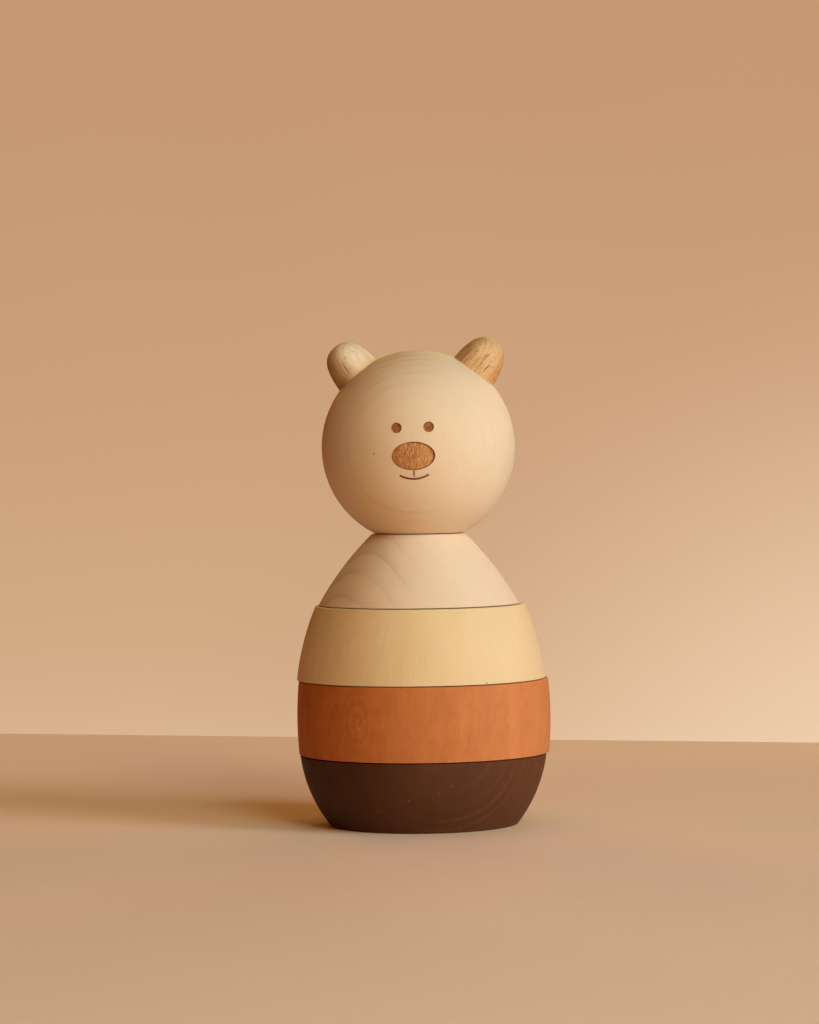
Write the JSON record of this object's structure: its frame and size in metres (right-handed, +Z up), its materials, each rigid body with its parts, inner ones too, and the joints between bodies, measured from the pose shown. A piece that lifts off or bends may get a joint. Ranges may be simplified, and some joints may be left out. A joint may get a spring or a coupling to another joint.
{
  "type": "stacking ring toy",
  "caption": "Wooden bear stacking toy: turned rings and a round head with domed ears drop over a peg that stands in a round base.",
  "frame": {"origin": "middle of the base's flat underside, on the peg's axis", "axes": "+Z up along the peg; the bear's face looks along -Y; +X is to the right for someone looking at the face"},
  "size_m": [0.0836, 0.0836, 0.1604],
  "materials": {
    "dark_brown_wood": "dark brown water stain, matt, fine grain showing",
    "terracotta_wood": "terracotta water stain, matt, fine upright grain",
    "straw_wood": "straw yellow water stain, matt, fine upright grain",
    "pale_wood": "natural pale close-grained wood, sanded and lightly oiled, with a burnt engraved face on the head",
    "beech": "natural beech with ray flecks, sanded and lightly oiled"
  },
  "bodies": {
    "base": {"base": "dark_brown_wood", "center_peg": "beech"},
    "terracotta_ring": {"terracotta_ring": "terracotta_wood"},
    "yellow_ring": {"yellow_ring": "straw_wood"},
    "shoulder_ring": {"shoulder_ring": "pale_wood"},
    "head": {"head": "pale_wood", "left_ear": "beech", "right_ear": "beech"}
  },
  "joints": [
    {"name": "terracotta_lift", "type": "slide", "parent": "base", "child": "terracotta_ring", "axis": [0, 0, 1], "range_m": [0, 0.105]},
    {"name": "yellow_lift", "type": "slide", "parent": "terracotta_ring", "child": "yellow_ring", "axis": [0, 0, 1], "range_m": [0, 0.08]},
    {"name": "shoulder_lift", "type": "slide", "parent": "yellow_ring", "child": "shoulder_ring", "axis": [0, 0, 1], "range_m": [0, 0.056]},
    {"name": "head_lift", "type": "slide", "parent": "shoulder_ring", "child": "head", "axis": [0, 0, 1], "range_m": [0, 0.032]}
  ]
}
